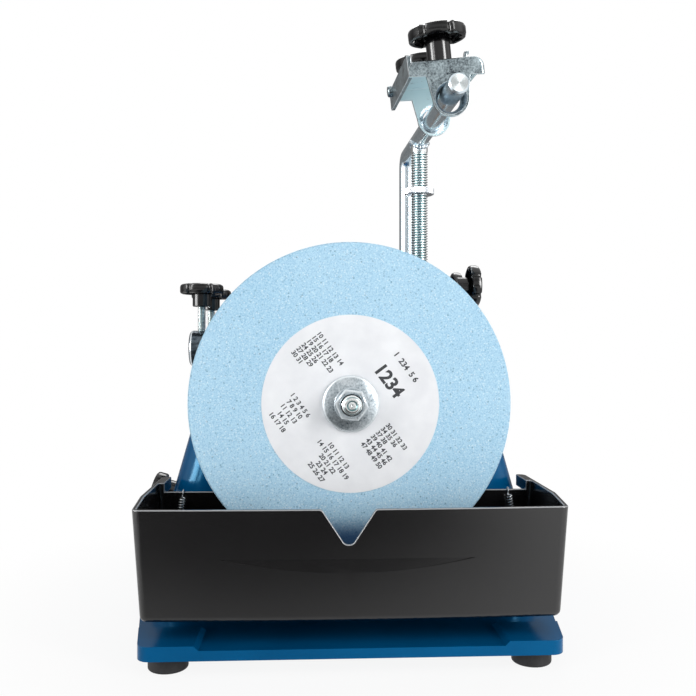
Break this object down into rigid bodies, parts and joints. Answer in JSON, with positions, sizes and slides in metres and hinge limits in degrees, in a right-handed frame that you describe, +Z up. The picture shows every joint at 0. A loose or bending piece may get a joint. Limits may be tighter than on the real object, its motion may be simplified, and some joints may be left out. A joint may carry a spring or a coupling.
{
  "type": "wet sharpening machine",
  "caption": "Bench machine with a slow stone dipping in a lift-out water tray, a leather honing wheel behind it, and a height-adjustable bar carrying a tool jig.",
  "frame": {"origin": "centre of the footprint, on the surface that the feet stand on", "axes": "+X to the right seen from the stone, +Y from the stone to the honing wheel, +Z up"},
  "size_m": [0.3026, 0.2959, 0.3894],
  "materials": {
    "blue_enamel": "gloss enamel",
    "foot_rubber": "matt",
    "tray_plastic": "satin",
    "knob_plastic": "gloss",
    "switch_plastic": "matt",
    "wheel_plastic": "satin",
    "tyre_rubber": "matt",
    "leather": "smooth side out",
    "stone": "fine sintered grain",
    "label_paper": "matt",
    "bright_steel": "bright drawn",
    "plain_steel": "zinc plated",
    "zinc_plate": "mottled zinc plate",
    "sleeve_coat": "dark grey textured coat",
    "bush_bronze": "turned",
    "motor_iron": "laminated",
    "motor_alloy": "cast"
  },
  "bodies": {
    "frame": {"base_plate": "blue_enamel", "feet": "foot_rubber", "foot_nuts": "plain_steel", "housing": "blue_enamel", "housing_screws": "plain_steel", "front_bush": "bush_bronze", "rear_bush": "bush_bronze", "front_top_sleeve": "sleeve_coat", "rear_top_sleeve": "sleeve_coat", "front_side_sleeve": "sleeve_coat", "rear_side_sleeve": "sleeve_coat", "motor_stator": "motor_iron", "motor_front_shield": "motor_alloy", "motor_rear_shield": "motor_alloy", "motor_bracket": "plain_steel", "motor_bolts": "plain_steel", "run_capacitor": "motor_alloy", "capacitor_clamp": "plain_steel", "switch_body": "switch_plastic", "cord_gland": "switch_plastic", "tray_hangers": "plain_steel"},
    "spindle": {"spindle_shaft": "bright_steel", "grinding_stone": "stone", "stone_label": "label_paper", "inner_flange": "plain_steel", "outer_flange": "plain_steel", "stone_nut": "bright_steel", "drive_wheel": "wheel_plastic", "drive_tyre": "tyre_rubber", "drive_pin": "plain_steel", "honing_wheel": "wheel_plastic", "leather_rim": "leather", "honing_washers": "plain_steel", "honing_hand_nut": "knob_plastic"},
    "rotor": {"rotor_shaft": "plain_steel", "rotor_core": "motor_iron", "friction_roller": "plain_steel"},
    "switch": {"switch_knob": "knob_plastic"},
    "tray": {"water_tray": "tray_plastic", "tray_springs": "plain_steel"},
    "support": {"support_bar": "bright_steel", "threaded_leg": "bright_steel"},
    "height_nut": {"adjusting_nut": "bright_steel"},
    "jig": {"jig_bracket": "zinc_plate", "jig_side_plate": "zinc_plate", "jig_plate_screw": "zinc_plate"},
    "front_side_clamp": {"front_side_clamp_knob": "knob_plastic", "front_side_clamp_screw": "plain_steel"},
    "rear_side_clamp": {"rear_side_clamp_knob": "knob_plastic", "rear_side_clamp_screw": "plain_steel"},
    "front_top_clamp": {"front_top_clamp_knob": "knob_plastic", "front_top_clamp_screw": "plain_steel"},
    "rear_top_clamp": {"rear_top_clamp_knob": "knob_plastic", "rear_top_clamp_screw": "plain_steel"},
    "front_jig": {"front_jig_knob": "knob_plastic", "front_jig_screw": "plain_steel"},
    "rear_jig": {"rear_jig_knob": "knob_plastic", "rear_jig_screw": "plain_steel"}
  },
  "joints": [
    {"name": "spindle_spin", "type": "hinge", "parent": "frame", "child": "spindle", "pos_m": [0, 0, 0.156], "axis": [0, 1, 0], "continuous": true},
    {"name": "rotor_spin", "type": "hinge", "parent": "frame", "child": "rotor", "pos_m": [-0.03868, 0, 0.11305], "axis": [0, 1, 0], "continuous": true},
    {"name": "switch_turn", "type": "hinge", "parent": "frame", "child": "switch", "pos_m": [-0.1235, -0.005, 0.084], "axis": [-0.9613, 0, 0.2756], "range_deg": [0, 90]},
    {"name": "tray_lift", "type": "slide", "parent": "frame", "child": "tray", "axis": [0, 0, 1], "range_m": [0, 0.016]},
    {"name": "support_height", "type": "slide", "parent": "frame", "child": "support", "axis": [0, 0, 1], "range_m": [-0.055, 0.04]},
    {"name": "height_nut_turn", "type": "hinge", "parent": "support", "child": "height_nut", "pos_m": [0.0538, -0.02, 0.3007], "axis": [0, 0, 1], "continuous": true},
    {"name": "jig_slide", "type": "slide", "parent": "support", "child": "jig", "axis": [-0.0419, 0.9991, 0], "range_m": [-0.018, 0.036]},
    {"name": "front_side_clamp_turn", "type": "hinge", "parent": "frame", "child": "front_side_clamp", "pos_m": [-0.10201, -0.02, 0.2198], "axis": [0, 0, 1], "range_deg": [-180, 180]},
    {"name": "rear_side_clamp_turn", "type": "hinge", "parent": "frame", "child": "rear_side_clamp", "pos_m": [-0.10201, 0.036, 0.2198], "axis": [0, 0, 1], "range_deg": [-180, 180]},
    {"name": "front_top_clamp_turn", "type": "hinge", "parent": "frame", "child": "front_top_clamp", "pos_m": [0.08078, -0.01887, 0.235], "axis": [0.9991, 0.0419, 0], "range_deg": [-180, 180]},
    {"name": "rear_top_clamp_turn", "type": "hinge", "parent": "frame", "child": "rear_top_clamp", "pos_m": [0.07843, 0.03708, 0.235], "axis": [0.9991, 0.0419, 0], "range_deg": [-180, 180]},
    {"name": "front_jig_turn", "type": "hinge", "parent": "jig", "child": "front_jig", "pos_m": [0.05328, -0.1153, 0.36152], "axis": [-0.1124, -0.0705, 0.9912], "range_deg": [-180, 180]},
    {"name": "rear_jig_turn", "type": "hinge", "parent": "jig", "child": "rear_jig", "pos_m": [0.05236, -0.05306, 0.36584], "axis": [-0.1124, -0.0705, 0.9912], "range_deg": [-180, 180]}
  ],
  "couplings": [
    {"joint": "rotor_spin", "follows": "spindle_spin", "ratio": -10.5}
  ]
}
